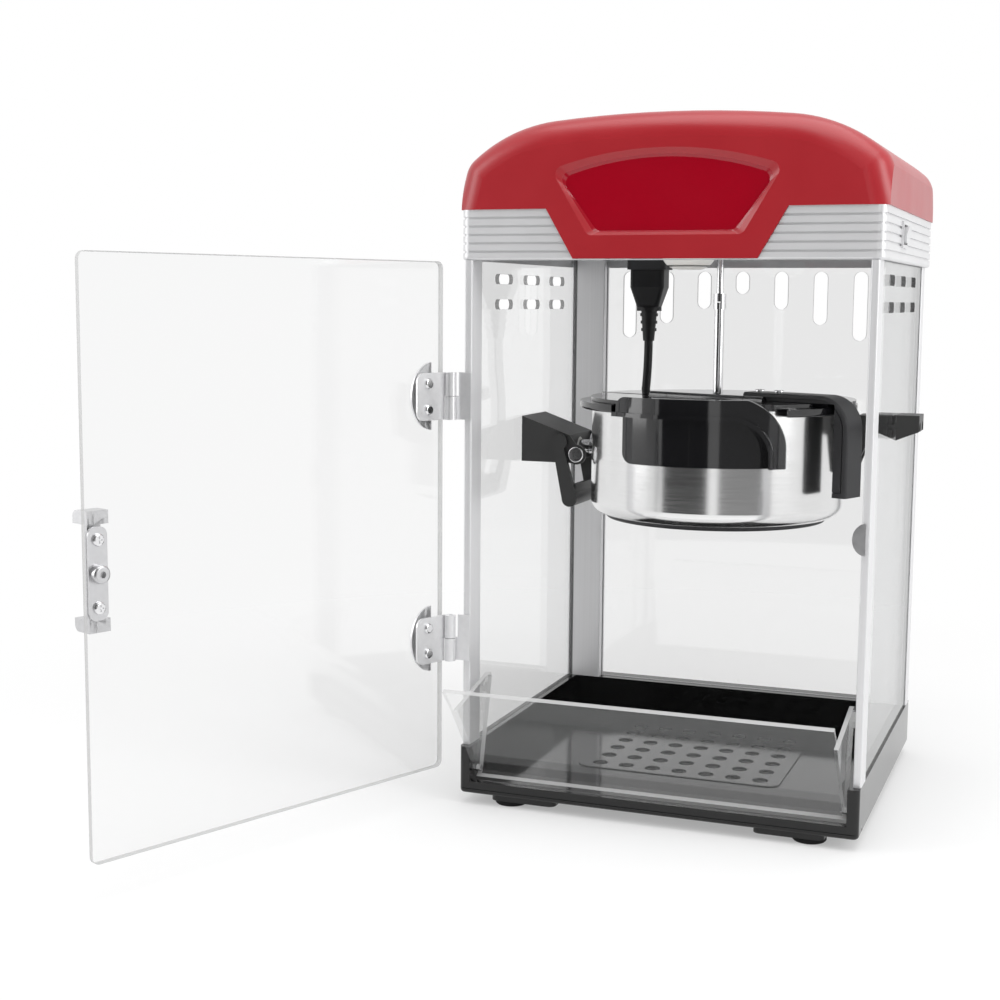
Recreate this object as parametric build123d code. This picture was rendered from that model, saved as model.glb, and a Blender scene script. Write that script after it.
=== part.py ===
from build123d import *
import os
from math import cos, pi, radians, sin, tan

# Tabletop popcorn maker: a glazed cabinet with a red head, a tipping kettle,
# a clear door and a tilt-out chute. Millimetres, +Z up, front towards -Y.
# The origin lies on the table, under the middle of the cabinet.

# Running and assembly clearances
slip = 0.2            # between fixed pieces that slide together
run = 0.05            # radial, a pin turning in its hole
free = 0.5            # between pieces that move past each other

# Frame, posts and panels, built round the kettle
kettle_r = 93.0
kettle_room = 34.5       # from the kettle's wall to the front and rear of the frame, centred
frame_w = 283.0
frame_d = 2 * (kettle_r + kettle_room)
front_post_h = 344.0
front_post_w = 5.5
front_post_d = 20.0
rear_post_w = 28.0
rear_post_d = 14.0
post_edge_r = 1.2
post_screw_d = 3.0
post_screw_head_d = 5.5
post_screw_bite = 18.0
panel_t = 3.0
side_panel_inset = 1.25  # outer face of a side panel inside the post's outer face
rear_panel_inset = 4.0
groove_depth = 4.0
vent_l = 29.0
vent_h = 7.3
vent_pitch_y = 59.5
vent_pitch_z = 18.3
vent_y = 2.0
vent_drop = 22.0         # upper row of vents below the panel's top edge
vent_cols = 3
vent_rows = 2
slot_w = 11.0
slot_pitch = 31.3
slot_count = 7
slot_short = 18.0        # length of the middle slot
slot_step = 12.0         # each slot further out is longer by this
slot_top_gap = 13.0

# Feet and base
foot_h = 4.0
foot_d = 23.0
foot_inset = 34.5
foot_x = frame_w / 2 - foot_inset
foot_peg_d = 8.0
pad_h = 4.0
pad_l = 48.0
pad_w = 26.0
pad_inset = 3.2
base_w = frame_w
base_front_lip = 6.5
base_rear_lip = 7.0
base_ledge = 2.5         # base wall inside the front posts
base_front = -frame_d / 2 - base_front_lip
base_wall_h = 34.0
base_corner_r = 4.0
base_side_t = front_post_w + base_ledge
base_rear_t = rear_post_d + base_rear_lip
base_skirt_t = 3.0
base_under_r = 2.5       # rounding of the outer lower edge
base_seam_rise = 3.7     # seam line across the front, above the underside
base_seam_w = 0.8
base_seam_depth = 0.6
floor_rise = 9.0      # floor above the underside of the base
floor_t = 3.0
cover_t = 2.0

# Kernel plate and tray in the floor
plate_w = 150.0
plate_d = 134.0
plate_y = 0.0
plate_t = 1.2
plate_proud = 0.8        # plate above the floor round it
plate_corner_r = 8.0
kernel_hole_d = 11.5
kernel_cols = 7
kernel_rows = 6
kernel_pitch_x = 20.0
kernel_pitch_y = 22.0
tray_wall = 1.0
tray_ledge = 4.0

# Head
band_overhang = 3.5
band_setback = 1.0
band_w = frame_w + 2 * band_overhang
band_d = frame_d - 2 * band_setback
band_h = 34.5
band_t = 3.0
post_rear = band_d / 2 - band_t - free
rear_panel_y = post_rear - rear_panel_inset - panel_t / 2
band_corner_r = 6.0
band_lip_r = 2.0
band_groove_count = 5
band_groove_w = 1.6
band_groove_depth = 1.0
ceiling_t = 2.0
ceiling_recess = 10.0    # ceiling above the band's lower edge
head_lap = 1.0
head_w = band_w + 2 * head_lap
head_d = band_d + 2 * head_lap
head_rise = 63.8
head_wall = 3.0
head_corner_r = 6.0
head_edge_r = 18.0
roof_flank = 65.0        # the roof's crown ends this far inside the side walls
roof_crown_fall = 3.9
roof_flank_fall = 24.7
roof_shoulder_w = 6.2
roof_shoulder_fall = 9.8
roof_tail = 12.0         # the roof's bar runs this far past the walls before it is cut
plaque_top_half_w = 82.5
plaque_bottom_half_w = 63.0
plaque_drop = 33.5
plaque_t = 3.5
recess_depth = 3.0
recess_bevel = 6.0
recess_top_half_w = 79.0
recess_bottom_half_w = 53.0
recess_low = -18.0       # bottom edge of the recess, from the head's lower edge
recess_high = 26.0       # ends of its arched top edge
recess_crown = 39.0      # middle of its arched top edge
recess_corner_r = 6.0

# Kettle and its tipping axis
kettle_x = 8.0
kettle_y = 5.0
kettle_bottom = 202.0
kettle_h = 81.0
kettle_top = kettle_bottom + kettle_h
tip_rise = 46.0          # tipping axis above the kettle's bottom
tip_z = kettle_bottom + tip_rise
kettle_corner_r = 10.0
kettle_wall = 1.2
pan_gap = 4.0
pan_r = kettle_r - pan_gap
pan_bottom = 226.0
pan_corner_r = 8.0
pan_flange_t = 1.0
rim_over = 9.0
rim_r = kettle_r + rim_over
rim_skirt = 3.0
rim_top_t = 1.5
rim_inside = 2.5
rim_inner_r = pan_r - rim_inside
lid_t = 3.0
lid_in = 1.0
lid_r = rim_r - lid_in
flap_over = 1.0
flap_r = kettle_r + flap_over
flap_hinge_offset = 15.0
flap_knuckle_r = 3.0
flap_pin_d = 2.5
flap_knuckle_l = 16.0
flap_knuckle_x = 42.0
handle_turn = -21.0      # handle's direction, from +X about +Z
handle_root_r = 30.0
handle_arm_t = 5.5
handle_clear = 3.5
handle_grip_r = rim_r + handle_clear
handle_grip_t = 10.5
handle_w = 23.0
handle_grip_low = 223.0
handle_bend_r = 24.0
handle_inner_r = 1.5
handle_edge_r = 2.5
handle_seam_in = 3.2     # seam of the grip's two halves, from its outer outline
handle_seam_w = 0.8
handle_seam_depth = 0.8
handle_screw_r = 37.0
handle_screw_step = 16.0
trunnion_d = 10.0
trunnion_over = 0.5      # trunnion's tip beyond its bush
trunnion_flange_d = 24.0
trunnion_flange_t = 3.0
heater_r = 58.0
heater_w = 16.0
heater_t = 6.0
thermostat_d = 16.0
thermostat_h = 9.0
base_cover_in = 9.0
base_cover_r = kettle_r - base_cover_in
base_cover_t = 3.0
terminal_w = 32.0
terminal_h = 20.0
terminal_proud = 9.0
terminal_rise = 4.0
terminal_rear = kettle_y + kettle_r + terminal_proud
terminal_low = kettle_bottom + terminal_rise

# Spout at the front of the kettle
spout_gap = 0.1
spout_shield_t = 2.0
spout_reach = 10.0
spout_lip_r = kettle_r + spout_reach
spout_fascia_in = 2.0
spout_fascia_r = spout_lip_r - spout_fascia_in
spout_fascia_t = 2.5
spout_low = 244.5
spout_lip_z = 278.0
spout_lip_t = 3.0
spout_top = 292.0
spout_left = 53.0
spout_lip_overhang = 3.0
spout_shield_left = 49.0
spout_shield_lap = 1.5   # shield's edge inside the lip's outer edge
spout_arch_start = 36.0
spout_crown_over = 7.0   # end of the straight upper edge, past the arch's start
spout_arch_end = 66.3
spout_arch_w = 6.6
spout_outer_knee = 258.0  # the arch's edges run straight down from here
spout_inner_knee = 252.0
spout_corner_r = 8.0
spout_seam_x = 3.3
spout_seam_w = 0.8
spout_seam_depth = 0.7

# Stirring drive
shaft_d = 5.0
rod_d = 7.4
rod_top = 364.5
rod_foot_gap = 1.5
coupler_d = 9.4
coupler_l = 11.0
tongue_t = 2.0
tongue_w = 4.6
tongue_l = 6.0
paddle_gap = 15.0
paddle_r = pan_r - paddle_gap
paddle_w = 9.0
paddle_t = 3.0
paddle_hub_d = 16.0
paddle_hub_h = 14.0
gearbox_w = 66.0
gearbox_d = 50.0
gearbox_h = 22.0
motor_d = 50.0
motor_h = 38.0
motor_offset = 14.0

# Kettle brackets
left_gap = 14.0          # left bracket's end from the kettle's wall
left_ahead = 26.0
left_behind = 28.0
left_below = 11.0
left_root_h = 34.5
left_end_h = 21.0
left_end_x = kettle_x - kettle_r - left_gap
left_front = kettle_y - left_ahead
left_rear = kettle_y + left_behind
left_low = tip_z - left_below
bracket_sheet = 2.0
ear_r = 7.5
ear_out = 5.5
ear_drop = 4.5
ear_x = left_end_x + ear_out
ear_z = tip_z - ear_drop
ear_pin_d = 6.0
ear_pin_head_d = 12.0
ear_pin_head_t = 2.0
bush_od = 14.0
bush_l = 6.0
latch_in = 7.0           # latch's pivot inside the left bracket's end
latch_rise = 5.0
latch_x = left_end_x - latch_in
latch_z = tip_z + latch_rise
latch_pin_d = 4.0
latch_hub_r = 6.0
latch_arm_w = 12.0
latch_arm_t = 3.0
latch_blind = 2.0        # depth of the latch arm's pin hole
latch_drop = 49.0
latch_lean = 8.5         # foot of the latch nearer to the kettle than its hub
latch_bar_h = 17.0
right_gap = 4.5
right_half_w = 11.0
right_near_w = 8.0
right_front = kettle_y - right_half_w
right_rear = kettle_y + right_half_w
right_near_x = kettle_x + kettle_r + right_gap
right_arm_x = right_near_x + right_near_w
right_arm_rise = 15.0
right_arm_low = tip_z + right_arm_rise
right_arm_h = 16.0
right_arm_top = right_arm_low + right_arm_h
boss_l = 16.0
boss_h = 18.0
boss_tip_h = 11.5
boss_w = 26.0
bracket_screw_d = 4.0
bracket_screw_head_d = 7.5
bracket_screw_head_t = 2.5
boss_sink = 3.5          # screw heads sunk into the boss
bracket_screw_step = 16.0
bracket_bite = 7.0

# Door
door_open = 112.0        # stored open by this, from closed
hinge_axis_out = 8.0     # hinge axis outside the posts
door_edge_gap = 3.5      # door's edge from the hinge axis
door_overlap = 2.5       # door's free edge past the posts
hinge_axis_x = -frame_w / 2 - hinge_axis_out
door_left = hinge_axis_x + door_edge_gap
door_w = frame_w / 2 + door_overlap - door_left
door_bottom = 26.0
door_h = 359.0
door_t = 4.0
door_gap = 9.5           # door's inner face in front of the posts
door_corner_r = 5.0
hinge_axis_gap = 5.0     # hinge axis in front of the posts
hinge_barrel_r = 4.0
hinge_pin_d = 4.0
hinge_h = 33.0
hinge_leaf_t = 1.5
hinge_upper_z = 292.0
hinge_lower_z = 120.0
hinge_leaf_w = 26.0
hinge_leaf_r = 6.0
hinge_moon_in = 7.0      # straight edge of the outer half-moon plate, from the door's edge
hinge_moon_h = 47.0
hinge_moon_w = 19.0
hinge_screw_step = 18.0
hinge_screw_x = 15.5
screw_d = 4.0
screw_head_d = 7.5
screw_head_t = 2.0
leaf_screw_d = 2.5
leaf_screw_head_d = 4.0
leaf_screw_head_t = 1.0
latch_plate_z = 200.0
pull_h = 72.0
pull_w = 14.5
pull_foot_h = 8.0
pull_reach = 15.0
pull_bar_t = 3.0
pull_bar_w = 6.5
pull_strip_t = 2.5
pull_strip_w = 9.0
pull_edge_gap = 4.0
plate_edge_gap = 0.5
plate_w_latch = 13.0
plate_h = 55.0
plate_tk = 2.0
pull_screw_step = 40.0
knob_d = 11.0
knob_l = 5.0
knob_hole_d = 4.0
screw_cross_l = 4.2      # cross recess of the latch plate's screws
screw_cross_w = 0.9
screw_cross_depth = 0.8
catch_h = 21.0
catch_w = 8.5
catch_t = 2.0
catch_rise = 7.0
catch_x = frame_w / 2 - front_post_w / 2

# Chute
chute_lean = 39.0        # stored leaning out by this, from upright
chute_side_gap = 1.5
chute_axis_in = 5.5      # pivot behind the fronts of the posts
chute_axis_back = 5.0    # pivot behind the chute's outer face
chute_axis_rise = 7.0
wing_l = 59.5
chute_half_w = base_w / 2 - base_side_t - chute_side_gap
chute_t = 3.0
chute_axis_y = -frame_d / 2 + chute_axis_in
chute_axis_z = foot_h + pad_h + floor_rise + chute_axis_rise
chute_front = chute_axis_y - chute_axis_back
chute_low = 20.5
chute_bend_z = 95.0
chute_lip_l = 25.0
chute_lip_lean = 4.5
wing_rear_y = chute_axis_y + wing_l
wing_rear_z = 64.0
chute_pin_d = 5.0
chute_pin_in = 5.5
wing_heel_r = 5.5
stop_l = 9.0
stop_h = 8.0
stop_w = 3.0

# Lamp, kettle socket, plug and switch
lens_x = -1.0
lens_y = -55.0
lens_d = 38.0
lens_drop = 15.0
lens_rim = 2.0
lamp_holder_d = 26.0
lamp_holder_h = 20.0
bulb_d = 20.0
bulb_l = 26.0
socket_aside = 80.0
socket_wall_gap = 6.0    # socket from the rear panel
socket_w = 32.0
socket_d = 24.0
socket_x = kettle_x - socket_aside
socket_y = rear_panel_y - panel_t / 2 - socket_wall_gap - socket_d / 2
socket_flange_t = 12.0
socket_body_h = 20.0
plug_w = 28.0
plug_d = 20.0
plug_h = 14.0
plug_neck_w = 18.0
plug_neck_d = 14.0
plug_neck_h = 16.0
plug_collar_d = 20.0
plug_collar_h = 3.0
relief_d = 13.0
relief_tip_d = 9.0
relief_h = 24.0
relief_rings = 4
cord_d = 7.0
switch_y = -43.0
switch_rise = 18.5
switch_l = 21.0
switch_h = 15.0
switch_proud = 1.5
switch_depth = 18.0
rocker_l = 16.0
rocker_h = 11.0
rocker_proud = 2.5
rocker_pivot_in = 3.0
rocker_gap = 1.2
mains_inset = 55.0
mains_x = band_w / 2 - mains_inset
mains_d = 16.0
mains_proud = 6.0
mains_bore = 8.0
mains_drop = 11.0

# Heights that follow from the sizes above
base_bottom = foot_h + pad_h
base_top = base_bottom + base_wall_h
floor_top = base_bottom + floor_rise
floor_under = floor_top - floor_t
band_low = base_top + front_post_h
band_top = band_low + band_h
ceiling_low = band_low + ceiling_recess
ceiling_top = ceiling_low + ceiling_t
switch_z = band_low + switch_rise
mains_z = band_top - mains_drop
head_top = band_top + head_rise
post_front = -frame_d / 2
rim_top = kettle_top + pan_flange_t + rim_top_t
lid_top = rim_top + lid_t
door_inner = post_front - door_gap
door_outer = door_inner - door_t
hinge_axis_y = post_front - hinge_axis_gap
base_back = post_rear + base_rear_lip
side_panel_x = frame_w / 2 - side_panel_inset - panel_t / 2

# The kettle cord's route, from the plug's strain relief to the kettle's gland
relief_low = ceiling_low - socket_flange_t - plug_h - plug_neck_h - plug_collar_h - relief_h
gland_l = 8.0
gland_d = 10.0
cord_y = terminal_rear - gland_d / 2
gland_x = kettle_x - terminal_w / 2 - gland_l
gland_z = terminal_low + terminal_h / 2
cord_fall = relief_low - gland_z
cord_stub = 22.0         # straight run out of the relief and into the gland
cord_bow = 3.0
cord_route = [
    (socket_x, socket_y, relief_low),
    (socket_x, socket_y, relief_low - cord_stub),
    (socket_x - cord_bow, socket_y + cord_bow / 3, relief_low - cord_fall * 0.46),
    (socket_x - cord_bow * 0.7, socket_y + cord_bow * 0.8, relief_low - cord_fall * 0.71),
    (socket_x + cord_d * 1.5, cord_y - cord_bow / 3, gland_z + cord_fall * 0.11),
    (gland_x - cord_stub, cord_y, gland_z),
    (gland_x, cord_y, gland_z),
]


# Small makers
def block(x0, x1, y0, y1, z0, z1):
    return Pos((x0 + x1) / 2, (y0 + y1) / 2, (z0 + z1) / 2) * Box(x1 - x0, y1 - y0, z1 - z0)


def pillar(x0, x1, y0, y1, z0, z1, r):
    return Pos((x0 + x1) / 2, (y0 + y1) / 2, z0) * extrude(RectangleRounded(x1 - x0, y1 - y0, r), z1 - z0)


def rod_x(x0, x1, y, z, d):
    return Pos((x0 + x1) / 2, y, z) * Rot(0, 90, 0) * Cylinder(d / 2, x1 - x0)


def rod_y(x, y0, y1, z, d):
    return Pos(x, (y0 + y1) / 2, z) * Rot(90, 0, 0) * Cylinder(d / 2, y1 - y0)


def rod_z(x, y, z0, z1, d):
    return Pos(x, y, (z0 + z1) / 2) * Cylinder(d / 2, z1 - z0)


def slab_xz(face, y0, y1):
    return extrude(Plane.XZ.offset(-y1) * face, y1 - y0)


def slab_yz(face, x0, x1):
    return extrude(Plane.YZ.offset(x0) * face, x1 - x0)


def ring(r_in, r_out, z0, z1):
    return rod_z(0, 0, z0, z1, 2 * r_out) - rod_z(0, 0, z0 - 1, z1 + 1, 2 * r_in)


def cup(r, z0, z1, wall, corner):
    outer = rod_z(0, 0, z0, z1, 2 * r)
    outer = fillet(outer.edges().group_by(Axis.Z)[0], corner)
    inner = rod_z(0, 0, z0 + wall, z1 + corner, 2 * (r - wall))
    inner = fillet(inner.edges().group_by(Axis.Z)[0], corner - wall)
    return outer - inner


def both_sides(shape):
    return shape + mirror(shape, Plane.YZ)


at_kettle = Pos(kettle_x, kettle_y, 0)
along_handle = at_kettle * Rot(0, 0, handle_turn)
door_pose = Pos(hinge_axis_x, hinge_axis_y, 0) * Rot(0, 0, -door_open) * Pos(-hinge_axis_x, -hinge_axis_y, 0)
chute_pose = Pos(0, chute_axis_y, chute_axis_z) * Rot(chute_lean, 0, 0) * Pos(0, -chute_axis_y, -chute_axis_z)


# Base
def foot_places():
    front_y = base_front + pad_inset + pad_w / 2
    rear_y = base_back - pad_inset - pad_w / 2
    return [(side * foot_x, y) for y in (front_y, rear_y) for side in (-1, 1)]


def post_places():
    outer = frame_w / 2
    places = {}
    for side, name in ((-1, "left"), (1, "right")):
        for front, y0, width, deep in (("front", post_front, front_post_w, front_post_d),
                                       ("rear", post_rear - rear_post_d, rear_post_w, rear_post_d)):
            inner = outer - width
            x0 = min(side * outer, side * inner)
            places[front + "_" + name + "_post"] = (x0, x0 + width, y0, y0 + deep)
    return places


def post_screw_places():
    return [((x0 + x1) / 2, (y0 + y1) / 2) for x0, x1, y0, y1 in post_places().values()]


def base_housing():
    half = base_w / 2
    body = pillar(-half, half, base_front, base_back, base_bottom, base_top, base_corner_r)
    body = fillet(body.edges().group_by(Axis.Z)[0], base_under_r)
    seam_z = base_bottom + base_seam_rise
    body -= block(-half, half, base_front - 1, base_front + base_seam_depth,
                  seam_z - base_seam_w / 2, seam_z + base_seam_w / 2)
    inner_half = half - base_side_t
    body -= block(-inner_half, inner_half, base_front - 1, base_back - base_rear_t, floor_top, base_top + 1)
    skirt = base_skirt_t
    body -= block(-half + skirt, half - skirt, base_front + skirt, base_back - skirt,
                  base_bottom - 1, floor_under)
    body -= kernel_opening(plate_w - 2 * tray_ledge, plate_d - 2 * tray_ledge, floor_under - 1, floor_top + 1)
    body -= kernel_opening(plate_w + 2 * slip, plate_d + 2 * slip, floor_top - plate_t, floor_top + 1)
    for x, y in post_screw_places():
        body -= rod_z(x, y, floor_under - 1, base_top + 1, post_screw_d + 2 * slip)
        body -= rod_z(x, y, base_bottom - 1, floor_under, post_screw_head_d + 2 * slip)
    axis_hole = rod_x(inner_half - 1, inner_half + chute_pin_in, chute_axis_y, chute_axis_z, chute_pin_d)
    return body - both_sides(axis_hole)


def kernel_opening(w, d, z0, z1):
    return pillar(-w / 2, w / 2, plate_y - d / 2, plate_y + d / 2, z0, z1, plate_corner_r)


def bottom_cover():
    half = base_w / 2 - base_skirt_t - slip
    y0 = base_front + base_skirt_t + slip
    y1 = base_back - base_skirt_t - slip
    cover = block(-half, half, y0, y1, base_bottom, base_bottom + cover_t)
    for x, y in foot_places():
        inward = 1 if x < 0 else -1
        x0 = x - inward * foot_d / 2
        x1 = x0 + inward * pad_l
        cover += pillar(min(x0, x1), max(x0, x1), y - pad_w / 2, y + pad_w / 2,
                        foot_h, base_bottom, pad_w / 5)
        cover -= rod_z(x, y, foot_h - 1, base_bottom + cover_t + 1, foot_peg_d)
    return cover


def feet():
    made = []
    for x, y in foot_places():
        foot = rod_z(x, y, 0, foot_h, foot_d)
        foot = chamfer(foot.edges().group_by(Axis.Z)[0], foot_h / 5)
        made.append(foot + rod_z(x, y, foot_h, base_bottom + cover_t, foot_peg_d))
    return Compound(made)


def kernel_tray():
    w = plate_w - 2 * tray_ledge - 2 * slip
    d = plate_d - 2 * tray_ledge - 2 * slip
    top = floor_top - plate_t
    low = base_bottom + cover_t
    tray = kernel_opening(w, d, low, top)
    return tray - kernel_opening(w - 2 * tray_wall, d - 2 * tray_wall, low + tray_wall, top + 1)


def kernel_plate():
    plate = kernel_opening(plate_w, plate_d, floor_top - plate_t, floor_top + plate_proud)
    plate = chamfer(plate.edges().group_by(Axis.Z)[-1], plate_proud / 2)
    x0 = -(kernel_cols - 1) / 2 * kernel_pitch_x
    y0 = plate_y - (kernel_rows - 1) / 2 * kernel_pitch_y
    holes = []
    for col in range(kernel_cols):
        for row in range(kernel_rows):
            x = x0 + col * kernel_pitch_x
            y = y0 + row * kernel_pitch_y
            holes.append(rod_z(x, y, floor_top - plate_t - 1, floor_top + plate_proud + 1, kernel_hole_d))
    return plate - holes


# Frame and glazing
def post(x0, x1, y0, y1):
    rear = y0 > 0
    top = ceiling_low if rear else band_low
    body = pillar(x0, x1, y0, y1, base_top, top, post_edge_r)
    side = 1 if x0 > 0 else -1
    half = panel_t / 2 + slip
    mid = side * side_panel_x
    gy0, gy1 = (y0 - 1, y0 + groove_depth) if rear else (y1 - groove_depth, y1 + 1)
    body -= block(mid - half, mid + half, gy0, gy1, base_top - 1, top + 1)
    if rear:
        inner = x0 if side > 0 else x1
        gx0 = min(inner - side, inner + side * groove_depth)
        gx1 = max(inner - side, inner + side * groove_depth)
        body -= block(gx0, gx1, rear_panel_y - half, rear_panel_y + half, base_top - 1, top + 1)
    bore_top = base_top + post_screw_bite + 2
    return body - rod_z((x0 + x1) / 2, (y0 + y1) / 2, base_top - 1, bore_top, post_screw_d)


def post_screws():
    made = []
    for x, y in post_screw_places():
        head = rod_z(x, y, floor_under - screw_head_t, floor_under, post_screw_head_d)
        made.append(head + rod_z(x, y, floor_under, base_top + post_screw_bite, post_screw_d))
    return made


def side_panel(side):
    grip = groove_depth - slip
    y0 = post_front + front_post_d - grip
    y1 = post_rear - rear_post_d + grip
    x = side * side_panel_x
    panel = block(x - panel_t / 2, x + panel_t / 2, y0, y1, base_top + slip, ceiling_low - slip)
    cuts = []
    for col in range(vent_cols):
        for row in range(vent_rows):
            y = vent_y + (col - (vent_cols - 1) / 2) * vent_pitch_y
            z = ceiling_low - vent_drop - row * vent_pitch_z
            slot = Pos(y, z) * SlotOverall(vent_l, vent_h)
            cuts.append(slab_yz(slot, x - panel_t, x + panel_t))
    for y, z in bracket_screw_places(side):
        cuts.append(rod_x(x - panel_t, x + panel_t, y, z, bracket_screw_d + 2 * slip))
    return panel - cuts


def rear_panel():
    grip = groove_depth - slip
    half = frame_w / 2 - rear_post_w + grip
    y0 = rear_panel_y - panel_t / 2
    panel = block(-half, half, y0, y0 + panel_t, base_top + slip, ceiling_low - slip)
    cuts = []
    for index in range(slot_count):
        step = index - (slot_count - 1) / 2
        length = slot_short + abs(step) * slot_step
        z = ceiling_low - slot_top_gap - length / 2
        slot = Pos(step * slot_pitch, z) * Rot(0, 0, 90) * SlotOverall(length, slot_w)
        cuts.append(slab_xz(slot, y0 - 1, y0 + panel_t + 1))
    return panel - cuts


# Head
def roof_face(inset):
    half = head_w / 2 - inset
    top = head_top - inset
    crown_end = (half - roof_flank, top - roof_crown_fall)
    flank_end = (half - roof_shoulder_w, crown_end[1] - roof_flank_fall)
    wall_end = (half, flank_end[1] - roof_shoulder_fall)
    crown = ThreePointArc((-crown_end[0], crown_end[1]), (0, top), crown_end)
    flank = TangentArc(crown_end, flank_end, tangent=crown % 1)
    shoulder = TangentArc(flank_end, wall_end, tangent=flank % 1)
    steep = shoulder % 1
    tail_end = (half + roof_tail * steep.X, wall_end[1] + roof_tail * steep.Y)
    tail = Line(wall_end, tail_end)
    low = band_top - roof_tail
    side = flank + shoulder + tail + Line(tail_end, (tail_end[0], low))
    return make_face(crown + side + mirror(side, Plane.YZ) + Line((-tail_end[0], low), (tail_end[0], low)))


def head_form(inset, low):
    half_w = head_w / 2 - inset
    half_d = head_d / 2 - inset
    bar = slab_xz(roof_face(inset), -half_d, half_d)
    rims = [edge for edge in bar.edges() if abs(abs(edge.center().Y) - half_d) < 0.01
            and edge.center().Z > band_top and abs(edge.center().X) < half_w]
    bar = fillet(rims, head_edge_r - inset)
    return bar & pillar(-half_w, half_w, -half_d, half_d, low, head_top + 1, head_corner_r - inset)


def plaque_face(grow):
    top = plaque_top_half_w + grow
    bottom = plaque_bottom_half_w + grow
    low = band_top - plaque_drop - grow
    points = [(-top, band_top), (-bottom, low), (bottom, low), (top, band_top)]
    return make_face(Polyline(points, close=True))


def recess_face(inset):
    half_low = recess_bottom_half_w - inset
    half_high = recess_top_half_w - inset
    low = band_top + recess_low + inset / 2
    high = band_top + recess_high - inset
    sides = Polyline((half_high, high), (half_low, low), (-half_low, low), (-half_high, high))
    crown = ThreePointArc((-half_high, high), (0, band_top + recess_crown - inset), (half_high, high))
    face = make_face(sides + crown)
    return fillet(face.vertices(), recess_corner_r)


def head_dome():
    front = -head_d / 2
    shell = head_form(0, band_top) - head_form(head_wall, band_top - 1)
    backing = slab_xz(recess_face(-recess_bevel), front + head_wall - 0.5, front + head_wall + recess_depth)
    backing &= head_form(1, band_top)
    dome = shell + backing + slab_xz(plaque_face(0), front, front + plaque_t)
    dome += slab_xz(recess_face(-recess_bevel) & plaque_face(-slip), front, front + head_wall + recess_depth)
    hollow = loft([Plane.XZ.offset(-front + 0.02) * recess_face(0),
                   Plane.XZ.offset(-front - recess_depth) * recess_face(recess_bevel)])
    return dome - hollow


def head_band():
    half_w = band_w / 2
    half_d = band_d / 2
    body = pillar(-half_w, half_w, -half_d, half_d, band_low, band_top, band_corner_r)
    body = fillet(body.edges().group_by(Axis.Z)[0], band_lip_r)
    inner_w = half_w - band_t
    inner_d = half_d - band_t
    body -= pillar(-inner_w, inner_w, -inner_d, inner_d, band_low - 1, band_top + 1, band_corner_r - band_t)
    pitch = band_h / (band_groove_count + 1)
    for index in range(band_groove_count):
        z = band_low + (index + 1) * pitch
        z0 = z - band_groove_w / 2
        z1 = z + band_groove_w / 2
        wide = pillar(-half_w - 1, half_w + 1, -half_d - 1, half_d + 1, z0, z1, band_corner_r + 1)
        core_w = half_w - band_groove_depth
        core_d = half_d - band_groove_depth
        core = pillar(-core_w, core_w, -core_d, core_d, z0 - 1, z1 + 1, band_corner_r - band_groove_depth)
        body -= wide - core
    deep = head_wall + recess_depth + slip
    body -= slab_xz(plaque_face(slip), -head_d / 2 - 1, -head_d / 2 + deep)
    half_l = switch_l / 2 + slip
    half_h = switch_h / 2 + slip
    body -= block(half_w - band_t - 1, half_w + 1, switch_y - half_l, switch_y + half_l,
                  switch_z - half_h, switch_z + half_h)
    return body - rod_y(mains_x, half_d - band_t - 1, half_d + 1, mains_z, mains_d)


def ceiling_plate():
    half_w = band_w / 2 - band_t - slip
    half_d = band_d / 2 - band_t - slip
    plate = pillar(-half_w, half_w, -half_d, half_d, ceiling_low, ceiling_top, band_corner_r - band_t)
    front = -head_d / 2 + head_wall + recess_depth + 2 * slip
    plate &= block(-half_w, half_w, front, half_d, ceiling_low, ceiling_top)
    plate -= rod_z(kettle_x, kettle_y, ceiling_low - 1, ceiling_top + 1, shaft_d + 6)
    plate -= rod_z(lens_x, lens_y, ceiling_low - 1, ceiling_top + 1, lens_d - 2 * lens_rim)
    half_l = switch_l / 2 + slip
    plate -= block(band_w / 2 - switch_depth - slip, half_w + 1, switch_y - half_l, switch_y + half_l,
                   ceiling_low - 1, ceiling_top + 1)
    w = socket_w / 2 - 3
    d = socket_d / 2 - 3
    return plate - block(socket_x - w, socket_x + w, socket_y - d, socket_y + d,
                         ceiling_low - 1, ceiling_top + 1)


def lamp_lens():
    low = ceiling_low - lens_drop
    bowl = rod_z(0, 0, low, ceiling_low, lens_d)
    bowl = fillet(bowl.edges().group_by(Axis.Z)[0], lens_drop * 0.8)
    hollow = rod_z(0, 0, low + lens_rim, ceiling_low + 1, lens_d - 4 * lens_rim)
    collar = ring(lens_d / 2 - 2 * lens_rim, lens_d / 2 - lens_rim, ceiling_low, ceiling_top)
    return Pos(lens_x, lens_y, 0) * (bowl - hollow + collar)


def lamp_holder():
    skirt = ring(lens_d / 2 - 2 * lens_rim, lens_d / 2 + lens_rim, ceiling_top, ceiling_top + bulb_l)
    roof_low = ceiling_top + bulb_l
    roof_top = roof_low + lens_rim
    roof = ring(bulb_d / 4, lens_d / 2 + lens_rim, roof_low, roof_top)
    socket = ring(bulb_d / 4, lamp_holder_d / 2, roof_top, roof_low + lamp_holder_h)
    return Pos(lens_x, lens_y, 0) * (skirt + roof + socket)


def lamp_bulb():
    base = ceiling_top + bulb_l + lens_rim
    glass = rod_z(0, 0, base - bulb_l, base - lens_rim - 1, bulb_d)
    glass = fillet(glass.edges().group_by(Axis.Z)[0], bulb_d * 0.45)
    cap = rod_z(0, 0, base - lens_rim - 1, base + lamp_holder_h / 2, bulb_d / 2)
    return Pos(lens_x, lens_y, 0) * (glass + cap)


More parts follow.
